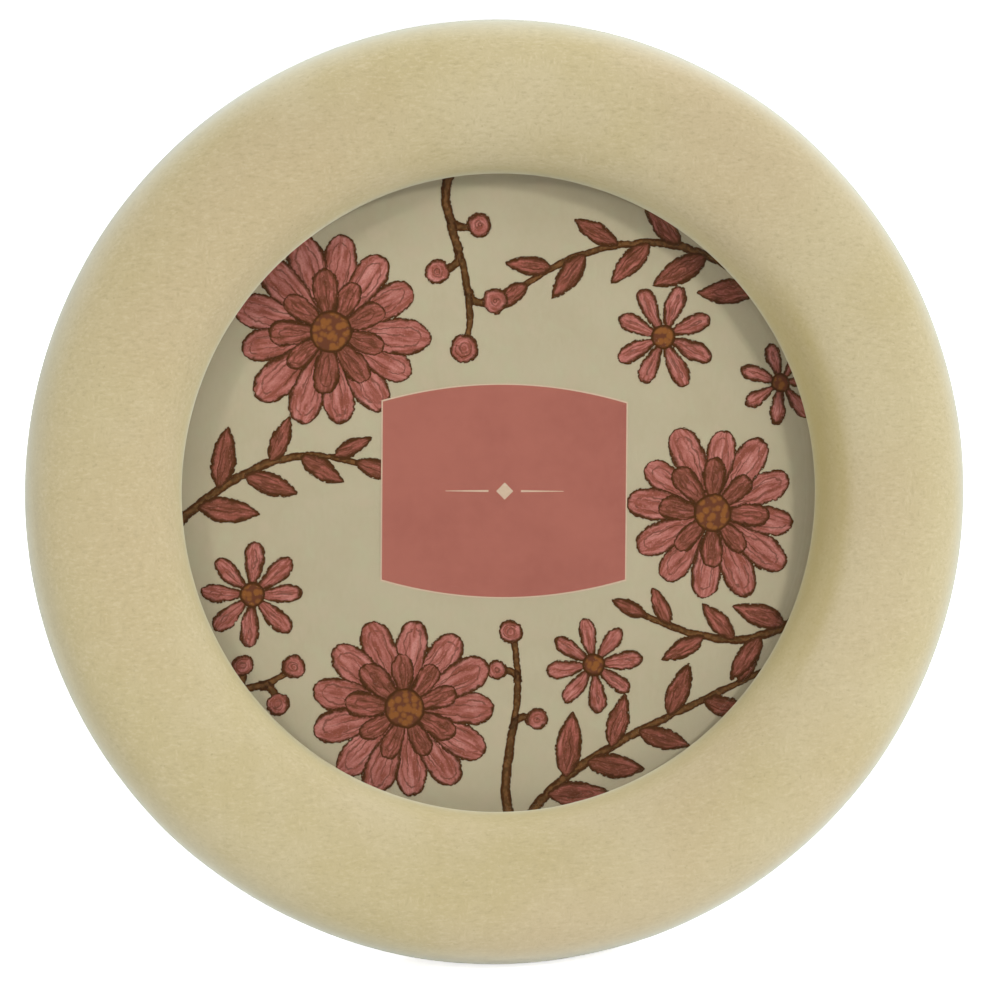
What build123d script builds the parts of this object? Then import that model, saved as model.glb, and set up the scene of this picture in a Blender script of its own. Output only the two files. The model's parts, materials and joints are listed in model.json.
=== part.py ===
from build123d import *
from math import cos, radians, sin
import os

# Round padded photo frame, standing on its ring and its open easel leg. Lengths are millimetres.

# Stance: lean of the face and of the open leg from upright, in degrees
lean_angle = 12.0
leg_angle = 15.0
foot_flat_depth = 0.5

# Padded ring
opening_diameter = 96.0
ring_width = 23.0
recess_depth = 10.9
crown_round = 10.0
rear_round = 3.0
velvet_thickness = 0.9
velvet_rear_margin = 1.6
glue_line = 0.05
lip_overlap = 2.8
lip_thickness = 3.0
liner_thickness = 0.5
liner_margin = 1.0

# Glass, picture and board, stacked in the rebate
glass_thickness = 2.0
glass_clearance = 0.7
insert_thickness = 0.3
insert_gap = 0.1
board_thickness = 3.0
board_clearance = 0.5
lining_thickness = 0.3

# Turn buttons and their screws
button_count = 4
button_first_angle = 45.0
button_thickness = 0.9
button_pivot_radius = 4.0
button_tip_radius = 3.0
button_hold = 5.5
button_gap = 0.06
button_edge = 0.25
screw_radius = 1.2
screw_running_clearance = 0.08
screw_fit = 0.05
screw_depth = 6.0
screw_point = 1.0
screw_head_radius = 2.8
screw_head_height = 1.5
screw_head_round = 1.0
cross_length = 3.0
cross_width = 0.7
cross_depth = 0.8

# Leg hinge: a rolled barrel on the board, two ears on the leg, one pin
hinge_height = 25.0
barrel_radius = 1.8
barrel_width = 7.4
barrel_gap = 0.15
pin_radius = 1.0
pin_running_clearance = 0.05
pin_ear_fit = 0.02
pin_head_radius = 1.5
pin_head_thickness = 0.6
pin_head_round = 0.3
sheet_thickness = 0.8
sheet_edge = 0.2
leaf_width = 22.0
leaf_rise = 2.4
leaf_length = 14.0
leaf_corner = 2.0
ear_radius = 1.7
ear_gap = 0.3
ear_to_leg = 0.5
bracket_width = 16.0
bracket_length = 16.0
bracket_corner = 2.0
tongue_width = 6.4
stop_clearance = 0.05

# Rivets, clenched in counterbores
rivet_radius = 1.3
rivet_fit = 0.05
rivet_head_radius = 2.5
rivet_head_height = 0.9
rivet_head_round = 0.6
rivet_clench_radius = 2.2
rivet_clench_thickness = 0.6
rivet_seat_depth = 0.9
leaf_rivet_spacing = 14.0
bracket_rivet_spacing = 8.0

# Easel leg
leg_thickness = 2.7
leg_closed_gap = 1.0
leg_top_width = 20.0
leg_foot_width = 30.0
leg_top_corner = 3.0
leg_edge = 0.4

# Radii about the ring's axis
opening_radius = opening_diameter / 2
ring_radius = opening_radius + ring_width
glass_radius = opening_radius + lip_overlap
rebate_radius = glass_radius + glass_clearance
board_radius = rebate_radius - board_clearance
velvet_rear_radius = rebate_radius + velvet_rear_margin
liner_inner_radius = rebate_radius + liner_margin
liner_outer_radius = ring_radius - rear_round - liner_margin
button_radius = (liner_inner_radius + liner_outer_radius) / 2

# Depths forward of the rear plane, where liner and lining are flush
board_rear = lining_thickness
insert_rear = board_rear + board_thickness
glass_rear = insert_rear + insert_thickness + insert_gap
glass_front = glass_rear + glass_thickness
lip_rear = glass_front + velvet_thickness + glue_line
core_front = lip_rear + lip_thickness
ring_depth = glass_front + recess_depth
wrap_rear = liner_thickness
core_rear = wrap_rear + velvet_thickness + glue_line

# The leaning face, placed so that the flat under the ring is at the origin
lean = radians(lean_angle)
splay = radians(leg_angle)
face_up = Vector(0, sin(lean), cos(lean))
face_normal = Vector(0, -cos(lean), sin(lean))
foot_drop = ring_radius - rear_round + rear_round * cos(lean)
foot_depth = wrap_rear + rear_round - rear_round * sin(lean)
face_origin = face_up * foot_drop - face_normal * foot_depth - Vector(0, 0, foot_flat_depth)
table_plane = Plane.XY
rear_plane = Plane(origin=face_origin, x_dir=(-1, 0, 0), z_dir=-face_normal)
front_plane = Plane(origin=face_origin, x_dir=(1, 0, 0), z_dir=face_normal)
section_plane = Plane(origin=face_origin, x_dir=(1, 0, 0), z_dir=-face_up)
ring_axis = Axis(face_origin, face_normal)
rear_axis = Axis(face_origin, -face_normal)

# The hinge and the open leg, whose plane has its origin on the hinge axis
hinge_depth = barrel_radius + barrel_gap
hinge_point = face_origin + face_up * hinge_height - face_normal * hinge_depth
leg_up = Vector(0, -sin(splay), cos(splay))
leg_normal = Vector(0, -cos(splay), -sin(splay))
leg_plane = Plane(origin=hinge_point, x_dir=(1, 0, 0), z_dir=leg_normal)
leg_side_plane = Plane(origin=hinge_point, x_dir=leg_up, z_dir=(1, 0, 0))
leg_axis = Axis(hinge_point, leg_normal)
leg_inner = hinge_depth - leg_closed_gap
leg_outer = leg_inner - leg_thickness
bracket_inner = leg_outer - lining_thickness
bracket_outer = bracket_inner - sheet_thickness
leg_top = -max(ear_radius, barrel_radius) - ear_to_leg
leg_length = hinge_point.Z / cos(splay)
ear_inner = barrel_width / 2 + ear_gap
ear_outer = ear_inner + sheet_thickness
swing = lean + splay
stop_depth = hinge_depth - sheet_thickness - stop_clearance
tongue_tip = (stop_depth - bracket_inner * cos(swing)) / sin(swing)
leaf_bottom = hinge_height + leaf_rise
leaf_rivet_height = leaf_bottom + leaf_length / 2
bracket_rivet_height = leg_top - bracket_length / 2


# Half section of the ring, drawn in by an even inset all round
def padded_outline(inset):
    with BuildSketch() as outline:
        with Locations((opening_radius + inset, wrap_rear + inset)):
            Rectangle(
                ring_width - 2 * inset,
                ring_depth - wrap_rear - 2 * inset,
                align=(Align.MIN, Align.MIN),
            )
        fillet(outline.vertices().group_by(Axis.Y)[-1], crown_round - inset)
        rear_edge = outline.vertices().group_by(Axis.Y)[0].sort_by(Axis.X)[-1]
        fillet(rear_edge, rear_round - inset)
    return outline.sketch


cover_outline = padded_outline(0)
padding_outline = padded_outline(velvet_thickness + glue_line)


# Velvet: over the front, round the outer edge to the back, and in under the lip
with BuildPart() as velvet_cover:
    with BuildSketch(section_plane):
        add(cover_outline)
        add(padding_outline, mode=Mode.SUBTRACT)
        with Locations((opening_radius, wrap_rear)):
            Rectangle(
                velvet_rear_radius - opening_radius,
                glass_front - wrap_rear,
                align=(Align.MIN, Align.MIN),
                mode=Mode.SUBTRACT,
            )
        with Locations((opening_radius, glass_front)):
            Rectangle(
                glass_radius - opening_radius,
                velvet_thickness,
                align=(Align.MIN, Align.MIN),
            )
    revolve(axis=ring_axis)
    split(bisect_by=table_plane, keep=Keep.TOP)
    with BuildSketch(rear_plane):
        with PolarLocations(button_radius, button_count, button_first_angle):
            Circle(screw_radius + screw_fit)
    extrude(amount=-core_rear, mode=Mode.SUBTRACT)

# Core: a flat ring with the rebate at its back
with BuildPart() as frame_core:
    with BuildSketch(section_plane):
        add(padding_outline)
        with Locations((opening_radius, core_front)):
            Rectangle(ring_width, ring_depth, align=(Align.MIN, Align.MIN), mode=Mode.SUBTRACT)
        with Locations((opening_radius, wrap_rear)):
            Rectangle(
                rebate_radius - opening_radius,
                lip_rear - wrap_rear,
                align=(Align.MIN, Align.MIN),
                mode=Mode.SUBTRACT,
            )
    revolve(axis=ring_axis)
    with BuildSketch(rear_plane):
        with PolarLocations(button_radius, button_count, button_first_angle):
            Circle(screw_radius + screw_fit)
    extrude(amount=-screw_depth - screw_fit, mode=Mode.SUBTRACT)

# Foam: the crowned half round on the flat front of the core
with BuildPart() as foam_pad:
    with BuildSketch(section_plane):
        add(padding_outline)
        with Locations((opening_radius, core_front)):
            Rectangle(ring_width, ring_depth, align=(Align.MIN, Align.MAX), mode=Mode.SUBTRACT)
    revolve(axis=ring_axis)

# Liner: paper ring over the raw edge of the velvet
with BuildPart() as rear_liner:
    with BuildSketch(rear_plane):
        Circle(liner_outer_radius)
        Circle(liner_inner_radius, mode=Mode.SUBTRACT)
        with PolarLocations(button_radius, button_count, button_first_angle):
            Circle(screw_radius + screw_fit, mode=Mode.SUBTRACT)
    extrude(amount=-liner_thickness)

with BuildPart() as glass_pane:
    with BuildSketch(front_plane.offset(glass_rear)):
        Circle(glass_radius)
    extrude(amount=glass_thickness)

with BuildPart() as picture_insert:
    with BuildSketch(front_plane.offset(insert_rear)):
        Circle(glass_radius)
    extrude(amount=insert_thickness)

# Board, with counterbores in its front for the clenched rivets
with BuildPart() as back_board:
    with BuildSketch(front_plane.offset(board_rear)):
        Circle(board_radius)
        with Locations((0, leaf_rivet_height)):
            with GridLocations(leaf_rivet_spacing, 0, 2, 1):
                Circle(rivet_radius + rivet_fit, mode=Mode.SUBTRACT)
    extrude(amount=board_thickness)
    with BuildSketch(front_plane.offset(insert_rear)):
        with Locations((0, leaf_rivet_height)):
            with GridLocations(leaf_rivet_spacing, 0, 2, 1):
                Circle(rivet_clench_radius + rivet_fit)
    extrude(amount=-rivet_seat_depth, mode=Mode.SUBTRACT)

with BuildPart() as back_board_lining:
    with BuildSketch(front_plane):
        Circle(board_radius)
        with Locations((0, leaf_rivet_height)):
            with GridLocations(leaf_rivet_spacing, 0, 2, 1):
                Circle(rivet_radius + rivet_fit, mode=Mode.SUBTRACT)
    extrude(amount=lining_thickness)

# Hinge leaf on the board: a plate whose neck is rolled into the barrel
with BuildPart() as hinge_back_leaf:
    with BuildSketch(rear_plane):
        with Locations((0, leaf_bottom)):
            RectangleRounded(leaf_width, leaf_length, leaf_corner, align=(Align.CENTER, Align.MIN))
        with Locations((0, hinge_height)):
            Rectangle(barrel_width, leaf_rise + leaf_corner, align=(Align.CENTER, Align.MIN))
        with Locations((0, leaf_rivet_height)):
            with GridLocations(leaf_rivet_spacing, 0, 2, 1):
                Circle(rivet_radius + rivet_fit, mode=Mode.SUBTRACT)
    extrude(amount=sheet_thickness)
    fillet(hinge_back_leaf.faces().sort_by(rear_axis)[-1].outer_wire().edges(), sheet_edge)
    with BuildSketch(leg_side_plane):
        Circle(barrel_radius)
    extrude(amount=barrel_width / 2, both=True)
    with BuildSketch(leg_side_plane):
        Circle(pin_radius + pin_running_clearance)
    extrude(amount=barrel_width / 2, both=True, mode=Mode.SUBTRACT)

# Rivets of the leaf: head, shank and clenched end
with BuildPart() as hinge_back_rivets:
    with BuildSketch(rear_plane.offset(sheet_thickness)):
        with Locations((0, leaf_rivet_height)):
            with GridLocations(leaf_rivet_spacing, 0, 2, 1):
                Circle(rivet_head_radius)
    extrude(amount=rivet_head_height)
    fillet(hinge_back_rivets.edges().group_by(rear_axis)[-1], rivet_head_round)
    with BuildSketch(rear_plane.offset(sheet_thickness)):
        with Locations((0, leaf_rivet_height)):
            with GridLocations(leaf_rivet_spacing, 0, 2, 1):
                Circle(rivet_radius)
    extrude(amount=-sheet_thickness - insert_rear + rivet_seat_depth)
    with BuildSketch(front_plane.offset(insert_rear - rivet_seat_depth)):
        with Locations((0, leaf_rivet_height)):
            with GridLocations(leaf_rivet_spacing, 0, 2, 1):
                Circle(rivet_clench_radius)
    extrude(amount=rivet_clench_thickness)

# Leg bracket: ears about the pin, a plate on the leg and a tongue that stops the swing
with BuildPart() as hinge_leg_bracket:
    with BuildSketch(leg_side_plane):
        Circle(ear_radius)
        Rectangle(2 * ear_radius, sheet_thickness / 2 - bracket_inner, align=(Align.CENTER, Align.MAX))
    extrude(amount=ear_outer, both=True)
    with BuildSketch(leg_side_plane):
        Rectangle(4 * ear_radius, -4 * bracket_outer)
    extrude(amount=ear_inner, both=True, mode=Mode.SUBTRACT)
    with BuildSketch(leg_plane.offset(bracket_inner)):
        with Locations((0, leg_top)):
            RectangleRounded(bracket_width, bracket_length, bracket_corner, align=(Align.CENTER, Align.MAX))
        with Locations((0, ear_radius)):
            Rectangle(2 * ear_outer, ear_radius - leg_top + bracket_corner, align=(Align.CENTER, Align.MAX))
        with Locations((0, tongue_tip)):
            Rectangle(tongue_width, tongue_tip, align=(Align.CENTER, Align.MAX))
        with Locations((0, bracket_rivet_height)):
            with GridLocations(bracket_rivet_spacing, 0, 2, 1):
                Circle(rivet_radius + rivet_fit, mode=Mode.SUBTRACT)
    extrude(amount=-sheet_thickness)
    fillet(hinge_leg_bracket.faces().sort_by(leg_axis)[0].outer_wire().edges(), sheet_edge)
    with BuildSketch(leg_side_plane):
        Circle(pin_radius + pin_ear_fit)
    extrude(amount=ear_outer, both=True, mode=Mode.SUBTRACT)

# Pin, with its ends peened over the ears
with BuildPart() as hinge_pin:
    with BuildSketch(leg_side_plane):
        Circle(pin_head_radius)
    extrude(amount=ear_outer + pin_head_thickness, both=True)
    fillet(hinge_pin.edges().filter_by(GeomType.CIRCLE), pin_head_round)
    with BuildSketch(leg_side_plane):
        Circle(pin_head_radius)
    extrude(amount=ear_outer, both=True, mode=Mode.SUBTRACT)
    with BuildSketch(leg_side_plane):
        Circle(pin_radius)
    extrude(amount=ear_outer, both=True)

# Leg outline, widening to the foot and run on past the table, where the foot is cut level
with BuildSketch() as leg_outline:
    with BuildLine():
        Polyline(
            (-leg_top_width / 2, leg_top),
            (leg_top_width / 2, leg_top),
            (leg_foot_width / 2, -leg_length),
            (leg_foot_width / 2, -leg_length - leg_thickness),
            (-leg_foot_width / 2, -leg_length - leg_thickness),
            (-leg_foot_width / 2, -leg_length),
            close=True,
        )
    make_face()
    fillet(leg_outline.vertices().group_by(Axis.Y)[-1], leg_top_corner)
    with Locations((0, bracket_rivet_height)):
        with GridLocations(bracket_rivet_spacing, 0, 2, 1):
            Circle(rivet_radius + rivet_fit, mode=Mode.SUBTRACT)

with BuildPart() as easel_leg:
    with BuildSketch(leg_plane.offset(leg_outer)):
        add(leg_outline.sketch)
    extrude(amount=leg_thickness)
    fillet(easel_leg.faces().sort_by(leg_axis)[-1].outer_wire().edges(), leg_edge)
    split(bisect_by=table_plane, keep=Keep.TOP)
    with BuildSketch(leg_plane.offset(leg_inner)):
        with Locations((0, bracket_rivet_height)):
            with GridLocations(bracket_rivet_spacing, 0, 2, 1):
                Circle(rivet_clench_radius + rivet_fit)
    extrude(amount=-rivet_seat_depth, mode=Mode.SUBTRACT)

with BuildPart() as easel_leg_lining:
    with BuildSketch(leg_plane.offset(bracket_inner)):
        add(leg_outline.sketch)
    extrude(amount=lining_thickness)
    split(bisect_by=table_plane, keep=Keep.TOP)

with BuildPart() as hinge_leg_rivets:
    with BuildSketch(leg_plane.offset(bracket_outer)):
        with Locations((0, bracket_rivet_height)):
            with GridLocations(bracket_rivet_spacing, 0, 2, 1):
                Circle(rivet_head_radius)
    extrude(amount=-rivet_head_height)
    fillet(hinge_leg_rivets.edges().group_by(leg_axis)[0], rivet_head_round)
    with BuildSketch(leg_plane.offset(bracket_outer)):
        with Locations((0, bracket_rivet_height)):
            with GridLocations(bracket_rivet_spacing, 0, 2, 1):
                Circle(rivet_radius)
    extrude(amount=leg_inner - rivet_seat_depth - bracket_outer)
    with BuildSketch(leg_plane.offset(leg_inner - rivet_seat_depth)):
        with Locations((0, bracket_rivet_height)):
            with GridLocations(bracket_rivet_spacing, 0, 2, 1):
                Circle(rivet_clench_radius)
    extrude(amount=rivet_clench_thickness)

# Screws of the turn buttons: pan heads with a cross recess, shanks into the core
head_seat = 2 * button_gap + button_thickness
with BuildPart() as turn_button_screws:
    with BuildSketch(rear_plane.offset(head_seat)):
        with PolarLocations(button_radius, button_count, button_first_angle):
            Circle(screw_head_radius)
    extrude(amount=screw_head_height)
    fillet(turn_button_screws.edges().group_by(rear_axis)[-1], screw_head_round)
    with BuildSketch(rear_plane.offset(head_seat + screw_head_height)):
        with PolarLocations(button_radius, button_count, button_first_angle):
            Rectangle(cross_length, cross_width)
            Rectangle(cross_width, cross_length)
    extrude(amount=-cross_depth, mode=Mode.SUBTRACT)
    with BuildSketch(rear_plane.offset(head_seat)):
        with PolarLocations(button_radius, button_count, button_first_angle):
            Circle(screw_radius)
    extrude(amount=-head_seat - screw_depth)
    chamfer(turn_button_screws.edges().group_by(ring_axis)[-1], screw_point, screw_point / 2)

pieces = {
    "velvet_cover": velvet_cover,
    "frame_core": frame_core,
    "foam_pad": foam_pad,
    "rear_liner": rear_liner,
    "glass_pane": glass_pane,
    "picture_insert": picture_insert,
    "back_board": back_board,
    "back_board_lining": back_board_lining,
    "hinge_back_leaf": hinge_back_leaf,
    "hinge_back_rivets": hinge_back_rivets,
    "hinge_leg_bracket": hinge_leg_bracket,
    "hinge_leg_rivets": hinge_leg_rivets,
    "hinge_pin": hinge_pin,
    "easel_leg": easel_leg,
    "easel_leg_lining": easel_leg_lining,
    "turn_button_screws": turn_button_screws,
}

# Turn buttons, each pointing from its screw to the middle of the board
button_reach = button_radius - board_radius + button_hold - button_tip_radius
for number in range(1, button_count + 1):
    angle = radians(button_first_angle + (number - 1) * 360 / button_count)
    inward = Vector(-cos(angle), -sin(angle), 0)
    pivot = rear_plane.from_local_coords(inward * -button_radius)
    button_plane = Plane(
        origin=pivot,
        x_dir=rear_plane.from_local_coords(inward) - face_origin,
        z_dir=rear_plane.z_dir,
    )
    with BuildPart() as turn_button:
        with BuildSketch(button_plane.offset(button_gap)):
            Circle(button_pivot_radius)
            with Locations((button_reach, 0)):
                Circle(button_tip_radius)
            make_hull()
            Circle(screw_radius + screw_running_clearance, mode=Mode.SUBTRACT)
        extrude(amount=button_thickness)
        fillet(turn_button.faces().sort_by(rear_axis)[-1].outer_wire().edges(), button_edge)
    pieces[f"turn_button_{number}"] = turn_button

os.makedirs("parts", exist_ok=True)
for name, piece in pieces.items():
    piece.part.label = name
    export_step(piece.part, f"parts/{name}.step")

print("hinge axis", hinge_point)
print("face centre", face_origin)
print("leg length", leg_length)
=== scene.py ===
import bmesh
import bpy
import json
from math import cos, pi, radians, sin, sqrt, tau
from random import Random
from mathutils import Matrix, Vector
from mathutils.geometry import interpolate_bezier


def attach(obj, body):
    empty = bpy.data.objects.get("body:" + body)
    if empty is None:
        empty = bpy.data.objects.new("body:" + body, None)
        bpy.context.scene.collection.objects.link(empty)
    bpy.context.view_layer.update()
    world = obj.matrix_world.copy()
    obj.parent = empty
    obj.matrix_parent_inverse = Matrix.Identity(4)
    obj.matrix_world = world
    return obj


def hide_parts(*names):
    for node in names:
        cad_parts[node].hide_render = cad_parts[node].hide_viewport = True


# Round photo frame: a padded velvet ring, a printed insert under glass, a leg and turn buttons behind.

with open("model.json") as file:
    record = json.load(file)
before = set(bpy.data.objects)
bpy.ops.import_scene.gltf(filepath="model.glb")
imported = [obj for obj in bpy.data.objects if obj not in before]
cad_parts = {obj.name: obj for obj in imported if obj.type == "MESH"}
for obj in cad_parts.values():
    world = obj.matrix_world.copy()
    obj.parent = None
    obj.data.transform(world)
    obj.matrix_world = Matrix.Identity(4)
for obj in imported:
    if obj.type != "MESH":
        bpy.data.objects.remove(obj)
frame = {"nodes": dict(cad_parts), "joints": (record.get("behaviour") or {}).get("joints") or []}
nodes = frame["nodes"]
scene = bpy.context.scene
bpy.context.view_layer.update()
mm = 0.001
print("loaded", len(nodes), "solids")

# The leaning face, from the pivots of the turn buttons: shapes are drawn on it in millimetres
buttonJoints = [joint for joint in frame["joints"] if joint["name"].startswith("button_")]
faceNormal = -Vector(buttonJoints[0]["axis"])
faceCentre = sum((Vector(joint["pos_m"]) for joint in buttonJoints), Vector()) / len(buttonJoints)
faceRight = Vector((1, 0, 0))
faceUp = faceNormal.cross(faceRight)
faceTurn = Matrix((faceRight, faceUp, faceNormal)).transposed().to_4x4()
facePlace = Matrix.Translation(faceCentre) @ faceTurn @ Matrix.Scale(mm, 4)


# One socket of a node tree, with arithmetic that adds Math nodes
class Wire:
    def __init__(self, tree, socket=None):
        self.tree = tree
        self.socket = socket

    def pick(self, sockets, key):
        if isinstance(key, int):
            return sockets[key]
        for socket in sockets:
            if socket.identifier == key:
                return socket
        return sockets[key]

    def node(self, kind, settings={}, sockets={}, out=0):
        made = self.tree.nodes.new(kind)
        for key, value in settings.items():
            setattr(made, key, value)
        for key, value in sockets.items():
            target = self.pick(made.inputs, key)
            if isinstance(value, Wire):
                self.tree.links.new(value.socket, target)
            else:
                target.default_value = value
        return None if out is None else Wire(self.tree, self.pick(made.outputs, out))

    def other(self, out):
        return Wire(self.tree, self.pick(self.socket.node.outputs, out))

    def maths(self, operation, first, second=0.0):
        return self.node("ShaderNodeMath", {"operation": operation}, {0: first, 1: second})

    def __add__(self, value):
        return self.maths("ADD", self, value)

    def __radd__(self, value):
        return self.maths("ADD", value, self)

    def __sub__(self, value):
        return self.maths("SUBTRACT", self, value)

    def __rsub__(self, value):
        return self.maths("SUBTRACT", value, self)

    def __mul__(self, value):
        return self.maths("MULTIPLY", self, value)

    def __rmul__(self, value):
        return self.maths("MULTIPLY", value, self)

    def __abs__(self):
        return self.maths("ABSOLUTE", self)

    # 0 below low and 1 above high, eased between
    def step(self, low, high):
        settings = {"interpolation_type": "SMOOTHSTEP"}
        return self.node("ShaderNodeMapRange", settings, {"Value": self, "From Min": low, "From Max": high})

    def attribute(self, name):
        return self.node("ShaderNodeAttribute", {"attribute_name": name}, out="Fac")

    # Noise whose grains are about size millimetres, on Object coordinates
    def grain(self, size, detail=2.0, rough=0.5, stretch=(1, 1, 1), turn=(0, 0, 0)):
        where = self.node("ShaderNodeTexCoord", out="Object")
        where = self.node("ShaderNodeMapping", {}, {"Vector": where, "Scale": stretch, "Rotation": turn})
        sockets = {"Vector": where, "Scale": 1 / (size * mm), "Detail": detail, "Roughness": rough}
        return self.node("ShaderNodeTexNoise", {}, sockets)

    # colourA where this is 0 and colourB where it is 1
    def blend(self, colourA, colourB):
        sockets = {"Factor_Float": self, "A_Color": colourA, "B_Color": colourB}
        return self.node("ShaderNodeMix", {"data_type": "RGBA"}, sockets, "Result_Color")

    def bump(self, strength, depth):
        sockets = {"Height": self, "Strength": strength, "Distance": depth * mm}
        return self.node("ShaderNodeBump", {}, sockets)

    def surface(self, **sockets):
        named = {key.replace("_", " "): value for key, value in sockets.items()}
        return self.node("ShaderNodeBsdfPrincipled", {}, named)


# A material whose surface is what build(start) returns
def newFinish(name, build):
    material = bpy.data.materials.new(name)
    material.use_nodes = True
    material.node_tree.nodes.clear()
    start = Wire(material.node_tree)
    start.node("ShaderNodeOutputMaterial", {}, {"Surface": build(start)}, None)
    return material


def paint(red, green, blue):
    return (red, green, blue, 1.0)


def linkPiece(name, data):
    piece = bpy.data.objects.new(name, data)
    scene.collection.objects.link(piece)
    return piece


# A geometry tree with named inputs, and the wires that come from them
def newTree(name, inputs):
    tree = bpy.data.node_groups.new(name, "GeometryNodeTree")
    tree.interface.new_socket("Geometry", in_out="INPUT", socket_type="NodeSocketGeometry")
    for label, kind in inputs.items():
        tree.interface.new_socket(label, in_out="INPUT", socket_type="NodeSocket" + kind)
    tree.interface.new_socket("Geometry", in_out="OUTPUT", socket_type="NodeSocketGeometry")
    entry = tree.nodes.new("NodeGroupInput")
    return tree, {socket.name: Wire(tree, socket) for socket in entry.outputs if socket.name}


def endTree(shape, finish):
    solid = shape.node("GeometryNodeRealizeInstances", {}, {"Geometry": shape})
    solid = shape.node("GeometryNodeSetMaterial", {}, {"Geometry": solid, "Material": finish})
    shape.node("NodeGroupOutput", {}, {"Geometry": solid}, None)


# Runs a tree on a source mesh and keeps the result as a plain mesh, drawn in millimetres on the face
def growPiece(name, source, tree, values):
    holder = linkPiece(name + "Source", source)
    modifier = holder.modifiers.new("grow", "NODES")
    modifier.node_group = tree
    for item in tree.interface.items_tree:
        if item.in_out == "INPUT" and item.name in values:
            modifier[item.identifier] = values[item.name]
    graph = bpy.context.evaluated_depsgraph_get()
    grown = holder.evaluated_get(graph)
    mesh = bpy.data.meshes.new_from_object(grown, preserve_all_data_layers=True, depsgraph=graph)
    bpy.data.objects.remove(holder)
    mesh.name = name
    mesh.transform(facePlace)
    return linkPiece(name, mesh)


def keepPiece(piece, body):
    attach(piece, body)


def dressSolid(name, finish):
    nodes[name].data.materials.clear()
    nodes[name].data.materials.append(finish)


# A mesh of points, lines or faces with one float attribute for each name
def plainMesh(name, points, edges=(), faces=(), **attributes):
    mesh = bpy.data.meshes.new(name)
    mesh.from_pydata(points, edges, faces)
    for label, values in attributes.items():
        mesh.attributes.new(label, "FLOAT", "POINT").data.foreach_set("value", values)
    return mesh


# Camera and stage

camera = {
    "left": 7.283,            # degrees to the left of the face's normal
    "above": 2.09,            # degrees above it
    "distance": 0.4378,
    "aim": (-1.558, 0.313, 6.0),
    "lens": 106.5,
    "sensor": 36.0,
}


# Unit vector from the face towards the camera
def cameraWay():
    side = radians(camera["left"])
    rise = radians(camera["above"])
    return faceNormal * cos(side) * cos(rise) - faceRight * sin(side) * cos(rise) + faceUp * sin(rise)


# Stands the camera or a lamp off a spot and turns it back to look there
def standOff(thing, spot, away, distance):
    thing.location = spot + away * distance
    thing.rotation_euler = (-away).to_track_quat("-Z", "Y").to_euler()


def placeCamera():
    data = bpy.data.cameras.new("camera")
    data.lens = camera["lens"]
    data.sensor_width = camera["sensor"]
    data.clip_start = 0.01
    eye = linkPiece("camera", data)
    standOff(eye, facePlace @ Vector(camera["aim"]), cameraWay(), camera["distance"])
    scene.camera = eye


stage = {
    "floorSize": 12.0,
    "floorColour": paint(0.90, 0.90, 0.90),
    "floorGlow": 0.75,        # near the object, and full white past the second distance
    "floorFade": (0.25, 0.7),
    "ambient": 0.13,
    "flag": (9.0, 16.0),      # degrees: full dark and edge of the black flag that the glass mirrors
    "flagLevel": 0.06,
    "lampDistance": 1.1,
    "lamps": {                # degrees to the right of the front and above the floor, metres, watts
        "keyLamp": {"side": 33, "rise": 29, "size": 0.12, "power": 3.75},
        "upperKey": {"side": 40, "rise": 58, "size": 0.50, "power": 2.3},
        "leftKey": {"side": -38, "rise": 27, "size": 0.12, "power": 2.1},
        "leftFill": {"side": -45, "rise": 20, "size": 0.50, "power": 0.9},
        "topFill": {"side": -25, "rise": 50, "size": 0.50, "power": 1.15},
        "overhead": {"side": 0, "rise": 72, "size": 0.50, "power": 0.8},
        "lowFill": {"side": 50, "rise": 5, "size": 0.50, "power": 2.1},
        "rightRim": {"side": 92, "rise": 22, "size": 0.50, "power": 1.2},
        "rightLow": {"side": 98, "rise": 4, "size": 0.30, "power": 1.4},
        "leftLow": {"side": -98, "rise": 4, "size": 0.30, "power": 1.6},
        "leftRim": {"side": -132, "rise": 15, "size": 0.60, "power": 0.3},
        "backLamp": {"side": 175, "rise": 48, "size": 0.60, "power": 5.2},
    },
}


# White where the camera, metal or glass looks, plain light elsewhere
def seenRay(start):
    path = start.node("ShaderNodeLightPath", out="Is Camera Ray")
    seen = path.maths("MAXIMUM", path, path.other("Is Glossy Ray"))
    seen = path.maths("MAXIMUM", seen, path.other("Is Transmission Ray"))
    return seen * path.maths("LESS_THAN", path.other("Diffuse Depth"), 0.5)


def buildFloor(start):
    white = start.node("ShaderNodeBsdfDiffuse", {}, {"Color": stage["floorColour"]})
    where = start.node("ShaderNodeTexCoord", out="Object")
    away = start.node("ShaderNodeVectorMath", {"operation": "LENGTH"}, {0: where}, "Value")
    level = away.step(*stage["floorFade"]) * (1 - stage["floorGlow"]) + stage["floorGlow"]
    glow = start.node("ShaderNodeEmission", {}, {"Strength": seenRay(start) * level})
    return start.node("ShaderNodeAddShader", {}, {0: white, 1: glow})


def placeFloor():
    half = stage["floorSize"] / 2
    corners = [(-half, -half, 0), (half, -half, 0), (half, half, 0), (-half, half, 0)]
    floor = linkPiece("floor", plainMesh("floor", corners, (), [(0, 1, 2, 3)]))
    floor.data.materials.append(newFinish("floorFinish", buildFloor))


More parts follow.
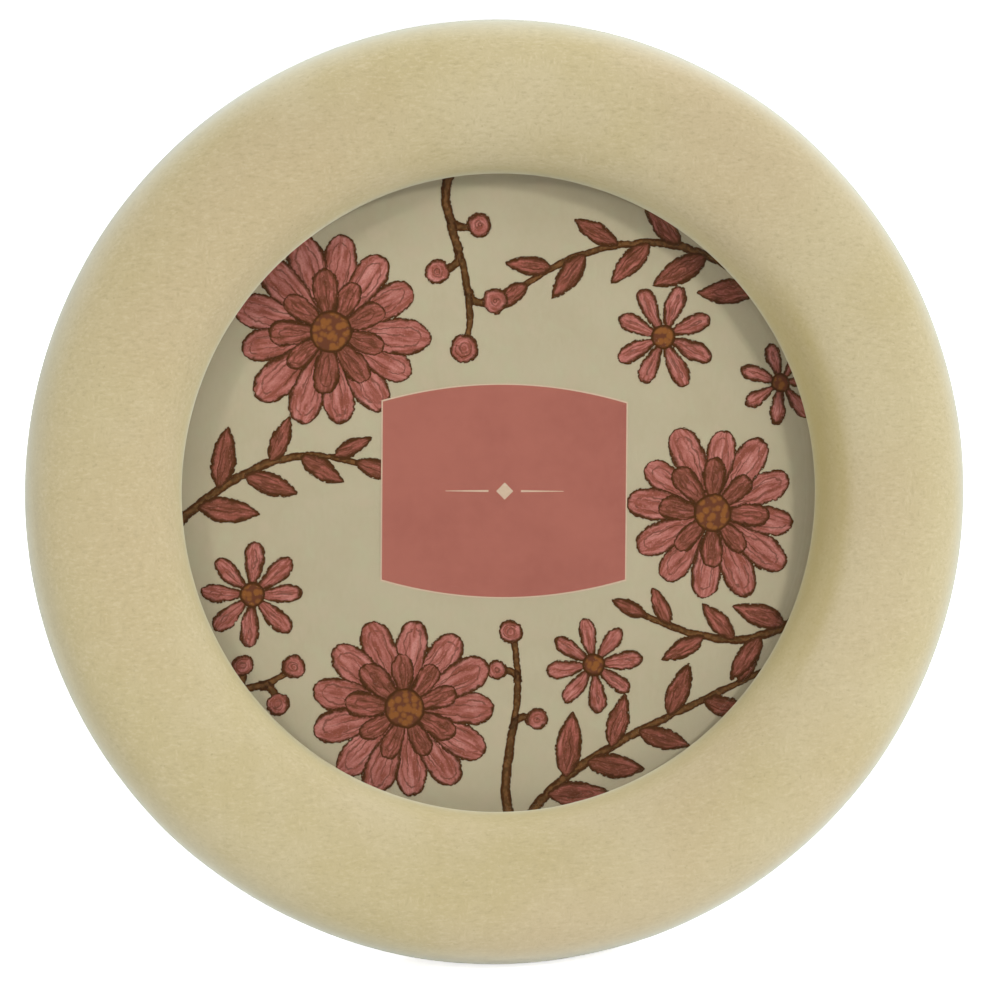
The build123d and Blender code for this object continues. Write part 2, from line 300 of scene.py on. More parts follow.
# A white studio, dark only where the pane would mirror it towards the photograph's view
def placeWorld():
    world = bpy.data.worlds.new("studio")
    world.use_nodes = True
    world.node_tree.nodes.clear()
    start = Wire(world.node_tree)
    towards = start.node("ShaderNodeTexCoord", out="Generated")
    mirrored = cameraWay().reflect(faceNormal) * -1
    both = {0: towards, 1: mirrored}
    facing = start.node("ShaderNodeVectorMath", {"operation": "DOT_PRODUCT"}, both, "Value")
    full, edge = (cos(radians(angle)) for angle in stage["flag"])
    direct = start.node("ShaderNodeLightPath", out="Is Camera Ray")
    flag = facing.step(edge, full) * (1 - direct) * (1 - stage["flagLevel"])
    level = seenRay(start) * (1 - flag - stage["ambient"]) + stage["ambient"]
    sky = start.node("ShaderNodeBackground", {}, {"Color": paint(1, 1, 1), "Strength": level})
    start.node("ShaderNodeOutputWorld", {}, {"Surface": sky}, None)
    scene.world = world


def placeLamps():
    for name, lamp in stage["lamps"].items():
        data = bpy.data.lights.new(name, "AREA")
        data.size = lamp["size"]
        data.energy = lamp["power"]
        side = radians(lamp["side"])
        rise = radians(lamp["rise"])
        away = Vector((sin(side) * cos(rise), -cos(side) * cos(rise), sin(rise)))
        standOff(linkPiece(name, data), faceCentre, away, stage["lampDistance"])


placeCamera()
placeFloor()
placeWorld()
placeLamps()
scene.view_settings.view_transform = "Standard"
print("camera and stage placed")


# Velvet ring

ring = {
    "opening": 48.0,          # radii about the ring's axis
    "outer": 71.0,
    "rearEdge": 53.1,
    "tuckEdge": 50.6,
    "glassFront": 5.72,       # depths forward of the rear plane
    "innerWall": 6.5,
    "outerWall": 5.4,
    "crest": 16.6,
    "rear": 0.5,
    "rearRound": 3.0,
    "tuckRound": 0.78,
    "fullness": 2.2,          # 2 is a round crown, more is squarer
    "cloth": 0.6,
    "segments": 360,
    "tuckSteps": 6,
    "crownSteps": 30,
    "rearSteps": 10,
    "backSteps": 6,
    "swell": 0.22,
    "swellSize": 26.0,
    "wallShadeTop": 15.5,          # depth from which the painted shade of the inner wall begins, full from the foot below
    "wallShadeFoot": 8.0,
    "rimSheenTop": 14.3,          # depth from which the painted sheen of the outer side begins, full from the foot below
    "rimSheenFoot": 10.0,
    "seed": 3.7,
}

velvet = {
    "pale": paint(0.635, 0.56, 0.36),
    "green": paint(0.59, 0.51, 0.29),
    "warm": paint(0.615, 0.51, 0.325),
    # dark yellow of the painted shade on the inner wall
    "inner": paint(0.46, 0.37, 0.11),
    # pale colour of the painted sheen on the outer side
    "rimSheenColour": paint(0.69, 0.675, 0.55),
    "tip": paint(0.74, 0.66, 0.46),
    "shade": paint(0.38, 0.31, 0.17),
    "sheen": 0.60,
    "sheenRough": 0.4,
    "sheenTint": paint(0.78, 0.93, 1.0),
    "driftSize": 55.0,        # grain sizes in millimetres, from broad drifts of hue to the pile itself
    "patchSize": 22.0,
    "laySize": 2.6,
    "mottleSize": 1.9,
    "prickSize": 0.62,
    "speckSize": 0.46,
    "speckSquash": 0.40,      # below 1 draws the specks out
    "pileSize": 0.30,
    "drift": 0.7,             # shares of each tone that is laid over the ones before
    "flank": 0.4,
    "mottle": 0.12,
    "lightSpeck": 0.31,
    "darkSpeck": 0.19,
    "pileShade": 0.10,
    "prickShade": 0.24,
    # share of painted shade towards the top of the ring
    "upperPaintedShade": 0.20,
    "rimPaintedSheen": 0.52,
    "rimSheenTilt": 0.15,          # painted sheen: added at the right, taken from it at the left
    "wallShadeLow": 0.45,          # shares of painted shade, darker and yellower, on the inner wall
    "wallShadeLowRight": 0.30,
    "wallShadeHighRight": 0.42,
    "napStrength": 0.25,
    "napDepth": 0.10,
}


# The outside of the cloth from under the lip, over the crown and round to the back
def ringOutline():
    middle = (ring["opening"] + ring["outer"]) / 2
    reach = (ring["outer"] - ring["opening"]) / 2
    power = 2 / ring["fullness"]
    points = [(ring["tuckEdge"], ring["glassFront"])]
    for step in range(ring["tuckSteps"] + 1):
        turn = pi / 2 * step / ring["tuckSteps"]
        across = ring["opening"] + ring["tuckRound"] * (1 - sin(turn))
        points.append((across, ring["glassFront"] + ring["tuckRound"] * (1 - cos(turn))))
    for step in range(1, 2 * ring["crownSteps"] + 1):
        turn = pi * step / (2 * ring["crownSteps"])
        base = ring["innerWall"] if turn < pi / 2 else ring["outerWall"]
        side = -1 if turn < pi / 2 else 1
        across = middle + side * reach * abs(cos(turn)) ** power
        points.append((across, base + (ring["crest"] - base) * sin(turn) ** power))
    for step in range(ring["rearSteps"] + 1):
        turn = pi / 2 * step / ring["rearSteps"]
        across = ring["outer"] - ring["rearRound"] * (1 - cos(turn))
        points.append((across, ring["rear"] + ring["rearRound"] * (1 - sin(turn))))
    across = ring["outer"] - ring["rearRound"]
    for step in range(1, ring["backSteps"] + 1):
        points.append((across + (ring["rearEdge"] - across) * step / ring["backSteps"], ring["rear"]))
    return points


# 0 at the top depth and above it, 1 at the foot and below it
def fall(depth, top, foot):
    return max(0.0, min(1.0, (top - depth) / (top - foot)))


# The closed section: the outline and, a cloth's thickness inside it, the way back
def ringSection():
    outside = ringOutline()
    inside = []
    for number, (across, depth) in enumerate(outside):
        before = Vector(outside[max(number - 1, 0)])
        after = Vector(outside[min(number + 1, len(outside) - 1)])
        along = (after - before).normalized()
        inside.append((across + along.y * ring["cloth"], depth - along.x * ring["cloth"]))
    points = outside + inside[::-1]
    free = [1.0 if depth > ring["innerWall"] else 0.0 for across, depth in outside] + [0.0] * len(inside)
    middle = (ring["opening"] + ring["outer"]) / 2
    inner = []
    outer = []
    # inner carries the painted shade of the inner wall, outer the painted sheen of the outer side
    for across, depth in points:
        inward = across < middle
        inner.append(fall(depth, ring["wallShadeTop"], ring["wallShadeFoot"]) if inward else 0.0)
        outer.append(0.0 if inward else fall(depth, ring["rimSheenTop"], ring["rimSheenFoot"]))
    edges = [(number, (number + 1) % len(points)) for number in range(len(points))]
    section = [(across - middle, -depth, 0) for across, depth in points]
    return plainMesh("ringSection", section, edges, free=free, inside=inner, outside=outer)


def ringTree():
    inputs = {"Radius": "Float", "Segments": "Int", "Swell": "Float", "SwellSize": "Float",
              "Seed": "Float", "Finish": "Material"}
    tree, given = newTree("velvetRing", inputs)
    start = Wire(tree)
    section = start.node("GeometryNodeMeshToCurve", {}, {"Mesh": given["Geometry"]})
    circle = {"Resolution": given["Segments"], "Radius": given["Radius"]}
    path = start.node("GeometryNodeCurvePrimitiveCircle", {}, circle)
    path = start.node("GeometryNodeSetCurveNormal", {"mode": "Z_UP"}, {"Curve": path})
    cover = start.node("GeometryNodeCurveToMesh", {}, {"Curve": path, "Profile Curve": section})
    free = start.node("GeometryNodeInputNamedAttribute", {}, {"Name": "free"})
    where = start.node("GeometryNodeInputPosition")
    waves = {"Vector": where, "W": given["Seed"], "Scale": start.maths("DIVIDE", 1.0, given["SwellSize"])}
    wave = start.node("ShaderNodeTexNoise", {"noise_dimensions": "4D"}, {**waves, "Detail": 1.0})
    push = (wave - 0.5) * 2.0 * given["Swell"] * free
    outward = start.node("GeometryNodeInputNormal")
    shift = start.node("ShaderNodeVectorMath", {"operation": "SCALE"}, {"Vector": outward, "Scale": push})
    cover = start.node("GeometryNodeSetPosition", {}, {"Geometry": cover, "Offset": shift})
    endTree(cover, given["Finish"])
    return tree


# Short pile: soft patches of hue, and specks that lie one way here and the other way there; over them
# painted shade at the top and on the inner wall, painted sheen on the outer side and painted side light
# paler at the right
def buildVelvet(start):
    radius = ring["outer"] * mm
    opening = ring["opening"] * mm
    squash = velvet["speckSquash"]
    where = start.node("ShaderNodeTexCoord", out="Object")
    across = start.node("ShaderNodeSeparateXYZ", {}, {"Vector": where}, "X")
    height = (across.other("Z") - faceCentre.z) * (1 / radius)
    # random patches of hue, plus painted side light: paler towards the right and greener towards the left
    patchAndSideLight = start.grain(velvet["patchSize"], 3.0, 0.55) + across * (0.12 / radius)
    drift = start.grain(velvet["driftSize"], 2.0)
    pile = start.grain(velvet["pileSize"], 2.0, 0.55)
    level = start.grain(velvet["speckSize"], 2.0, 0.6, (squash, 1.0, 1.0))
    upright = start.grain(velvet["speckSize"], 2.0, 0.6, (1.0, squash, squash))
    mottle = start.grain(velvet["mottleSize"], 2.0, 0.55)
    prick = start.grain(velvet["prickSize"], 1.0)
    speck = start.grain(velvet["laySize"], 2.0).step(0.30, 0.50) * (level - upright) + upright
    strength = 1.0 + height * 0.16       # specks show more near the top

    colour = patchAndSideLight.step(0.32, 0.68).blend(velvet["green"], velvet["pale"])
    colour = (drift.step(0.42, 0.62) * velvet["drift"]).blend(colour, velvet["warm"])
    flank = abs(across).step(0.70 * radius, 0.95 * radius)
    colour = (flank * velvet["flank"]).blend(colour, velvet["green"])
    colour = (mottle.step(0.40, 0.66) * velvet["mottle"]).blend(colour, velvet["tip"])
    colour = (speck.step(0.52, 0.68) * strength * velvet["lightSpeck"]).blend(colour, velvet["tip"])

    dark = (1 - speck.step(0.30, 0.48)) * strength * velvet["darkSpeck"]
    dark = dark + (1 - pile.step(0.25, 0.6)) * velvet["pileShade"]
    dark = dark + prick.step(0.70, 0.78) * velvet["prickShade"]
    # painted shade: darker towards the top, easing off at the outermost top
    dark = dark + height.step(-0.4, 0.9) * (1 - height.step(0.78, 1.0)) * velvet["upperPaintedShade"]
    colour = dark.blend(colour, velvet["shade"])

    # painted sheen: the outer side paler, more at the right than at the left
    rimPaintedSheen = start.attribute("outside") * (across * (velvet["rimSheenTilt"] / radius) + velvet["rimPaintedSheen"])
    colour = rimPaintedSheen.blend(colour, velvet["rimSheenColour"])
    # painted shade on the inner wall: darker and yellower low down all round, and higher up the wall at the
    # right
    inside = start.attribute("inside")
    right = across.step(0.75 * opening, opening)
    foot = right * (velvet["wallShadeLowRight"] - velvet["wallShadeLow"]) + velvet["wallShadeLow"]
    low = inside.step(0.33, 1.0) * foot + inside.step(0.05, 0.30) * right * velvet["wallShadeHighRight"]
    colour = low.blend(colour, velvet["inner"])
    nap = (pile * 0.6 + speck * 0.8).bump(velvet["napStrength"], velvet["napDepth"])
    return start.surface(Base_Color=colour, Roughness=0.85 + pile * 0.1, Normal=nap, Diffuse_Roughness=1.0,
                         Sheen_Weight=velvet["sheen"], Sheen_Roughness=velvet["sheenRough"],
                         Sheen_Tint=velvet["sheenTint"], Specular_IOR_Level=0.1)


def makeRing():
    finish = newFinish("velvetFinish", buildVelvet)
    middle = (ring["opening"] + ring["outer"]) / 2
    values = {"Radius": middle, "Segments": ring["segments"], "Swell": ring["swell"],
              "SwellSize": ring["swellSize"], "Seed": ring["seed"], "Finish": finish}
    piece = growPiece("velvetRing", ringSection(), ringTree(), values)
    shape = bmesh.new()
    shape.from_mesh(piece.data)
    bmesh.ops.recalc_face_normals(shape, faces=shape.faces)
    for vertex in shape.verts:           # the ring is pressed flat where it stands
        vertex.co.z = max(vertex.co.z, 0.0)
    for face in shape.faces:
        face.smooth = True
    shape.to_mesh(piece.data)
    shape.free()
    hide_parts("velvet_cover")
    keepPiece(piece, "frame")
    print("velvet ring", len(piece.data.polygons), "faces")


makeRing()


# Printed insert: flat layers of ink a few micrometres apart, between the paper and the glass

insert = {
    "paperFront": 3.6,
    "stem": 0.006,            # how far each layer stands off the paper
    "leaf": 0.012,
    "berry": 0.038,
    "petal": 0.042,
    "crown": 0.062,
    "eye": 0.078,
    "panelEdge": 0.084,
    "panel": 0.087,
    "rule": 0.090,
    "layer": 0.0018,          # between overlapping shapes of one layer
    "petalTurns": 10,         # shapes of one kind before the lowest level is used again
    "crownTurns": 8,
    "leafTurns": 12,
    "petalHalf": 0.235,       # half width of a blade of length 1
    "crownHalf": 0.27,
    "leafHalf": 0.21,
    "petalLine": 0.58,        # width of the drawn outline
    "crownLine": 0.56,
    "leafLine": 0.66,
    "petalStrokes": 5.0,
    "leafStrokes": 3.4,
    "stemWidth": 1.7,
    "stemTaper": 0.4,
    "wobble": 0.8,
    "trim": 49.7,             # radius past which no ink is printed
    "seed": 11,
}

# x, y, radius, petals
largeDaisies = [(-25.0, 25.0, 14.5, 13), (32.5, -4.0, 13.5, 12), (-15.5, -32.0, 14.0, 13)]
smallDaisies = [(25.5, 23.0, 8.0, 8), (-38.0, -14.0, 8.0, 8), (13.5, -26.5, 7.4, 8), (43.5, 15.5, 6.5, 7)]

# Start and length of the petals as shares of the radius, and their turn as a share of the step between two
largeDaisy = {"petals": (0.2, 0.8, 0.0), "crown": (0.12, 0.5, 0.4), "crownFewer": 4, "eye": 0.22}
smallDaisy = {"petals": (0.16, 0.84, 0.0), "eye": 0.24}

# Four control points of the stem, leaves along it, length of the first and last leaf
sprigs = [
    ((47, 20), (39, 37), (22, 43), (4, 31), 9, 11.0, 7.5),
    ((-49, -3), (-42, 2), (-34, 10), (-21, 5), 6, 9.5, 7.0),
    ((3, -49), (9, -41), (22, -36), (41, -28), 8, 11.0, 7.0),
    ((47, -19), (40, -25), (33, -25), (21, -19), 5, 9.0, 6.5),
]
sprig = {"steps": 48, "firstLeaf": 0.08, "leafSpan": 0.88, "spread": 50, "closing": 12, "tipBack": 0.16}

# Control points of a twig, then its berries as place along it, side and radius
twigs = [
    ((-6, 49), (-10, 42), (-1, 33), (-5, 22),
     [(0.3, 4.2, 1.9), (0.5, -4.0, 2.1), (0.72, 3.8, 1.9), (1.0, 0.0, 2.2)]),
    ((-49, -29), (-42, -27), (-38, -30), (-32, -25), [(0.4, 3.6, 1.8), (0.68, -3.4, 1.9), (1.0, 0.0, 2.1)]),
    ((0, -49), (-2, -40), (4, -32), (1, -21), [(0.5, -3.4, 1.7), (0.75, 3.2, 1.7), (1.0, 0.0, 2.0)]),
]
twig = {"steps": 32, "stalkSteps": 8, "forward": 0.6, "bend": 0.7, "ease": 0.3}

inks = {
    "paper": paint(0.515, 0.443, 0.308),
    "paperShade": paint(0.477, 0.404, 0.274),
    "paperWarm": paint(0.515, 0.422, 0.296),
    "paperGreen": paint(0.491, 0.445, 0.298),
    "pink": paint(0.51, 0.178, 0.150),
    "pinkDeep": paint(0.265, 0.075, 0.049),
    "pinkPale": paint(0.63, 0.275, 0.24),
    "rose": paint(0.36, 0.105, 0.078),
    "rust": paint(0.365, 0.106, 0.079),
    "rustDeep": paint(0.145, 0.048, 0.023),
    "rustPale": paint(0.52, 0.19, 0.15),
    "stem": paint(0.10, 0.048, 0.016),
    "stemPale": paint(0.19, 0.082, 0.028),
    "seed": paint(0.27, 0.098, 0.026),
    "line": paint(0.068, 0.025, 0.0065),
    "panel": paint(0.36, 0.117, 0.091),
    "panelPale": paint(0.42, 0.142, 0.109),
    "cream": paint(0.66, 0.50, 0.37),
}


def petalWidth(along):
    peak = 0.66
    if along < peak:
        return 0.34 + 0.66 * sin(pi / 2 * along / peak)
    return sqrt(max(0.0, 1 - ((along - peak) / (1 - peak)) ** 2))


def leafWidth(along):
    return sin(pi * along ** 0.85) ** 0.72


# A flat blade of unit length along x, with its distance to the outline kept for the ink
def bladeMesh(name, width, shape, rows=13):
    columns = (-1.0, -0.55, 0.0, 0.55, 1.0)
    points = []
    kept = {"along": [], "across": [], "edge": []}
    for row in range(rows + 1):
        along = 0.01 + 0.985 * (1 - (1 - row / rows) ** 1.5)
        half = width * shape(along)
        for across in columns:
            points.append((along, across * half, 0))
            kept["along"].append(along)
            kept["across"].append(across)
            kept["edge"].append(min((1 - abs(across)) * half, 1.0 - along))
    wide = len(columns)
    faces = []
    for row in range(rows):
        for column in range(wide - 1):
            corner = row * wide + column
            faces.append((corner, corner + wide, corner + wide + 1, corner + 1))
    return plainMesh(name, points, (), faces, **kept)


def discMesh(name, sides=18):
    points = [(0, 0, 0)]
    kept = {"along": [0.0], "across": [0.0], "edge": [1.0]}
    for ringAt in (0.45, 0.8, 1.0):
        for side in range(sides):
            turn = tau * side / sides
            points.append((ringAt * cos(turn), ringAt * sin(turn), 0))
            kept["along"].append(side / sides)
            kept["across"].append(ringAt)
            kept["edge"].append(1 - ringAt)
    faces = [(0, 1 + side, 1 + (side + 1) % sides) for side in range(sides)]
    for row in range(2):
        for side in range(sides):
            inner = 1 + row * sides + side
            beside = 1 + row * sides + (side + 1) % sides
            faces.append((inner, inner + sides, beside + sides, beside))
    return plainMesh(name, points, (), faces, **kept)


# Drawn by hand: every outline strays a little, in the plane of the paper, and ends at the paper's edge
def wobbled(start, shape, wobble):
    shape = start.node("GeometryNodeRealizeInstances", {}, {"Geometry": shape})
    where = start.node("GeometryNodeInputPosition")
    stray = start.node("ShaderNodeTexNoise", {}, {"Vector": where, "Scale": 0.42, "Detail": 2.0}, "Color")
    stray = start.node("ShaderNodeVectorMath", {}, {0: stray, 1: (-0.5, -0.5, -0.5)})
    scale = start.node("ShaderNodeCombineXYZ", {}, {"X": wobble, "Y": wobble})
    stray = start.node("ShaderNodeVectorMath", {"operation": "MULTIPLY"}, {0: stray, 1: scale})
    shape = start.node("GeometryNodeSetPosition", {}, {"Geometry": shape, "Offset": stray})
    flat = start.node("ShaderNodeVectorMath", {"operation": "MULTIPLY"}, {0: where, 1: (1.0, 1.0, 0.0)})
    reach = start.node("ShaderNodeVectorMath", {"operation": "LENGTH"}, {0: flat}, "Value")
    beyond = start.node("FunctionNodeCompare", {}, {"A": reach, "B": insert["trim"]})
    cut = {"Geometry": shape, "Selection": beyond}
    return start.node("GeometryNodeDeleteGeometry", {"domain": "FACE"}, cut)


# One motif on every point, turned and sized by the point's attributes with a little jitter
def motifTree():
    inputs = {"Motif": "Object", "TurnJitter": "Float", "SizeJitter": "Float", "Wobble": "Float",
              "Seed": "Int", "Finish": "Material"}
    tree, given = newTree("motif", inputs)
    start = Wire(tree)
    motif = start.node("GeometryNodeObjectInfo", {}, {"Object": given["Motif"]}, "Geometry")
    spin = start.node("GeometryNodeInputNamedAttribute", {}, {"Name": "spin"})
    size = start.node("GeometryNodeInputNamedAttribute", {}, {"Name": "size"})
    chance = {"Min_001": -1.0, "Max_001": 1.0}
    turnDraw = {**chance, "Seed": given["Seed"]}
    sizeDraw = {**chance, "Seed": given["Seed"] + 1}
    turnChance = start.node("FunctionNodeRandomValue", {}, turnDraw, "Value_001")
    sizeChance = start.node("FunctionNodeRandomValue", {}, sizeDraw, "Value_001")
    spin = spin + turnChance * given["TurnJitter"]
    size = size * (1 + sizeChance * given["SizeJitter"])
    turn = start.node("ShaderNodeCombineXYZ", {}, {"Z": spin})
    turn = start.node("FunctionNodeEulerToRotation", {}, {"Euler": turn})
    placed = {"Points": given["Geometry"], "Instance": motif, "Rotation": turn, "Scale": size}
    drawn = start.node("GeometryNodeInstanceOnPoints", {}, placed)
    endTree(wobbled(start, drawn, given["Wobble"]), given["Finish"])
    return tree


# A flat ribbon along every line of the source, narrowing towards its far end
def ribbonTree():
    inputs = {"Width": "Float", "Taper": "Float", "Wobble": "Float", "Finish": "Material"}
    tree, given = newTree("ribbon", inputs)
    start = Wire(tree)
    path = start.node("GeometryNodeMeshToCurve", {}, {"Mesh": given["Geometry"]})
    path = start.node("GeometryNodeSetCurveNormal", {"mode": "Z_UP"}, {"Curve": path})
    place = start.node("GeometryNodeSplineParameter")
    half = given["Width"] * 0.5
    ends = {"Start": start.node("ShaderNodeCombineXYZ", {}, {"X": 0 - half}),
            "End": start.node("ShaderNodeCombineXYZ", {}, {"X": half})}
    section = start.node("GeometryNodeCurvePrimitiveLine", {}, ends)
    across = {"Geometry": section, "Name": "across", "Value": place * 2.0 - 1.0}
    section = start.node("GeometryNodeStoreNamedAttribute", {}, across)
    swept = {"Curve": path, "Profile Curve": section, "Scale": 1 - place * given["Taper"]}
    ribbon = start.node("GeometryNodeCurveToMesh", {}, swept)
    endTree(wobbled(start, ribbon, given["Wobble"]), given["Finish"])
    return tree


# Dry ink and paper have no shine of their own
def inkSurface(start, colour, rough, **sockets):
    return start.surface(Base_Color=colour, Roughness=rough, Specular_IOR_Level=0.0, **sockets)


# Ink of a blade or disc: streaked fill, pencil strokes along it and a rough outline
def inkFinish(name, pale, middle, deep, strokes, lineWidth):
    def build(start):
        along = start.attribute("along")
        across = start.attribute("across")
        tone = start.attribute("tone")
        edge = start.attribute("edge") * start.attribute("size")
        wobble = start.grain(0.8, 3.0, 0.65) - 0.5
        hand = start.grain(2.4, 2.0) - 0.5
        crayon = start.grain(0.26, 2.0, 0.6)
        fray = start.grain(0.55, 3.0, 0.7) - 0.5
        drawn = {"X": along * 1.5, "Y": across * 1.6, "Z": tone * 37.0}
        drawn = start.node("ShaderNodeCombineXYZ", {}, drawn)
        streaks = start.node("ShaderNodeTexNoise", {}, {"Vector": drawn, "Scale": 2.4, "Detail": 3.0})
        colour = streaks.step(0.34, 0.60).blend(deep, middle)
        colour = (streaks.step(0.55, 0.72) * 0.75).blend(colour, pale)
        colour = ((1 - along.step(0.0, 0.5)) * 0.5).blend(colour, deep)
        colour = (tone * 0.3).blend(colour, deep)
        colour = ((1 - crayon.step(0.34, 0.52)) * 0.30).blend(colour, deep)
        colour = (crayon.step(0.58, 0.70) * 0.40).blend(colour, pale)
        phase = across * strokes + hand * 2.2 + tone * 9.0
        wave = phase.maths("SINE", phase)
        stroke = (1 - abs(wave + wobble * 0.9).step(0.05, 0.26)) * (1 - along.step(0.45, 0.9))
        reach = lineWidth * (0.85 + hand * 1.7)
        outline = 1 - (edge + wobble * 0.6 + fray * 0.6).step(reach * 0.6, reach * 1.5)
        second = 1 - abs(edge + hand * 1.4 + wobble * 0.6 - lineWidth * 2.4).step(0.05, 0.20)
        second = second * streaks.step(0.42, 0.52)
        mark = (stroke * 0.75).maths("MAXIMUM", stroke * 0.75, second * 0.65)
        mark = outline.maths("MAXIMUM", outline, mark) * (0.7 + crayon.step(0.25, 0.5) * 0.3)
        colour = mark.blend(colour, inks["line"])
        whole = (edge + fray * 1.1 + wobble * 0.4).step(0.0, 0.12)
        return inkSurface(start, colour, 0.55 + wobble * 0.1, Alpha=whole)
    return newFinish(name, build)


def buildEye(start):
    edge = start.attribute("edge") * start.attribute("size")
    wobble = start.grain(0.8, 3.0, 0.65) - 0.5
    where = start.node("ShaderNodeTexCoord", out="Object")
    seed = start.node("ShaderNodeTexVoronoi", {}, {"Vector": where, "Scale": 1 / (0.95 * mm)})
    colour = (seed + wobble * 0.3).step(0.38, 0.68).blend(inks["seed"], inks["rustDeep"])
    colour = (1 - (edge + wobble * 0.5).step(0.2, 0.6)).blend(colour, inks["line"])
    return inkSurface(start, colour, 0.55 + wobble * 0.1)


def buildStem(start):
    across = abs(start.attribute("across"))
    wobble = start.grain(1.0, 3.0, 0.6) - 0.5
    colour = start.grain(0.7, 2.0).step(0.35, 0.65).blend(inks["stem"], inks["stemPale"])
    colour = (across + wobble * 1.3).step(0.25, 0.65).blend(colour, inks["line"])
    fray = start.grain(0.55, 3.0, 0.7) - 0.5
    whole = 1 - (across + fray * 1.2).step(0.86, 1.04)
    return inkSurface(start, colour, 0.55 + wobble * 0.1, Alpha=whole)


def buildPaper(start):
    fibre = start.grain(0.5, 4.0, 0.65, (1.0, 0.4, 0.4), (0.3, 0.2, 0.9))
    cloud = start.grain(9.0, 3.0)
    tint = start.grain(2.8, 2.0, 0.55)
    colour = (cloud * 0.6 + fibre * 0.5).step(0.3, 0.8).blend(inks["paperShade"], inks["paper"])
    colour = (tint.step(0.54, 0.70) * 0.6).blend(colour, inks["paperWarm"])
    colour = ((1 - tint.step(0.30, 0.46)) * 0.6).blend(colour, inks["paperGreen"])
    return inkSurface(start, colour, 0.62 + fibre * 0.1, Normal=fibre.bump(0.08, 0.03))


def buildPanel(start):
    cloud = start.grain(9.0, 3.0)
    speck = start.grain(0.22, 2.0, 0.6)
    mottle = start.grain(1.6, 2.0)
    where = start.node("ShaderNodeTexCoord", out="Object")
    across = start.node("ShaderNodeSeparateXYZ", {}, {"Vector": where}, "X")
    across = across * (0.5 / (panel["halfWidth"] * mm))
    # painted shade: the panel darker towards the right
    tone = cloud * 0.7 + mottle * 0.35 + speck * 0.25 - across * 0.2
    colour = tone.step(0.25, 0.85).blend(inks["panel"], inks["panelPale"])
    return inkSurface(start, colour, 0.5 + speck * 0.12)


def buildCream(start):
    speck = start.grain(0.3, 2.0, 0.6)
    colour = (speck.step(0.3, 0.7) * 0.15).blend(inks["cream"], inks["panelPale"])
    return inkSurface(start, colour, 0.5 + speck * 0.12)


def bentLine(points, steps):
    return interpolate_bezier(*[Vector((x, y, 0)) for x, y in points], steps + 1)


# The point at a share of a stem's length, and the way the stem runs there
def curvePoint(points, place):
    steps = 40
    line = bentLine(points, steps)
    spot = min(int(place * steps), steps - 1)
    forward = (line[spot + 1] - line[spot]).normalized()
    return line[spot].lerp(line[spot + 1], place * steps - spot), forward


def headingOf(forward):
    return Vector((1, 0)).angle_signed(forward.xy) * -1


# Gathers the points of one kind of motif, each on a level of its own
class Motifs:
    def __init__(self, lift, levels=1):
        self.lift = lift
        self.levels = levels
        self.points = []
        self.kept = {"spin": [], "size": [], "tone": []}

    def add(self, x, y, spin, size, tone=0.0):
        level = len(self.points) % self.levels
        self.points.append((x, y, insert["paperFront"] + self.lift + level * insert["layer"]))
        self.kept["spin"].append(spin)
        self.kept["size"].append(size)
        self.kept["tone"].append(tone)

    def mesh(self, name):
        return plainMesh(name, self.points, **self.kept)


# Gathers the lines of all stems
class Stems:
    def __init__(self):
        self.points = []
        self.edges = []

    def add(self, line):
        first = len(self.points)
        depth = insert["paperFront"] + insert["stem"]
        self.points.extend((point[0], point[1], depth) for point in line)
        self.edges.extend((first + number, first + number + 1) for number in range(len(line) - 1))

    def mesh(self, name):
        return plainMesh(name, self.points, self.edges)


def drawPetals(motifs, chance, flower, first, count, start, length, shift):
    x, y, radius = flower
    out = radius * start
    for number in range(count):
        turn = first + tau * (number + shift) / count
        motifs.add(x + out * cos(turn), y + out * sin(turn), turn, radius * length, chance.random())


def drawDaisies(chance, petals, crowns, eyes):
    for *flower, count in largeDaisies:
        x, y, radius = flower
        first = chance.uniform(0, tau)
        drawPetals(petals, chance, flower, first, count, *largeDaisy["petals"])
        drawPetals(crowns, chance, flower, first, count - largeDaisy["crownFewer"], *largeDaisy["crown"])
        eyes.add(x, y, 0.0, radius * largeDaisy["eye"])
    for *flower, count in smallDaisies:
        x, y, radius = flower
        first = chance.uniform(0, tau)
        drawPetals(petals, chance, flower, first, count, *smallDaisy["petals"])
        eyes.add(x, y, 0.0, radius * smallDaisy["eye"])


# Leaves stand to either side of the stem by turns, and one ends it
def drawSprigs(chance, leaves, stems):
    for *points, count, firstLeaf, lastLeaf in sprigs:
        stems.add(bentLine(points, sprig["steps"]))
        for number in range(count):
            share = (number + 0.5) / count
            size = firstLeaf + (lastLeaf - firstLeaf) * share
            spot, forward = curvePoint(points, sprig["firstLeaf"] + sprig["leafSpan"] * share)
            spread = radians(sprig["spread"] - sprig["closing"] * share) * (1 if number % 2 else -1)
            leaves.add(spot.x, spot.y, headingOf(forward) + spread, size, chance.random())
        spot, forward = curvePoint(points, 1.0)
        spot = spot - forward * lastLeaf * sprig["tipBack"]
        leaves.add(spot.x, spot.y, headingOf(forward), lastLeaf, chance.random())


# A berry beside the twig hangs on a bent stalk
def drawTwigs(chance, berries, stems):
    for *points, fruit in twigs:
        stems.add(bentLine(points, twig["steps"]))
        for place, side, radius in fruit:
            spot, forward = curvePoint(points, place)
            left = Vector((-forward.y, forward.x, 0))
            tip = spot + left * side + forward * abs(side) * twig["forward"]
            if side:
                bend = spot + forward * abs(side) * twig["bend"]
                ease = tip - left * side * twig["ease"]
                stems.add(interpolate_bezier(spot, bend, ease, tip, twig["stalkSteps"] + 1))
            berries.add(tip.x, tip.y, chance.uniform(0, tau), radius, chance.random())


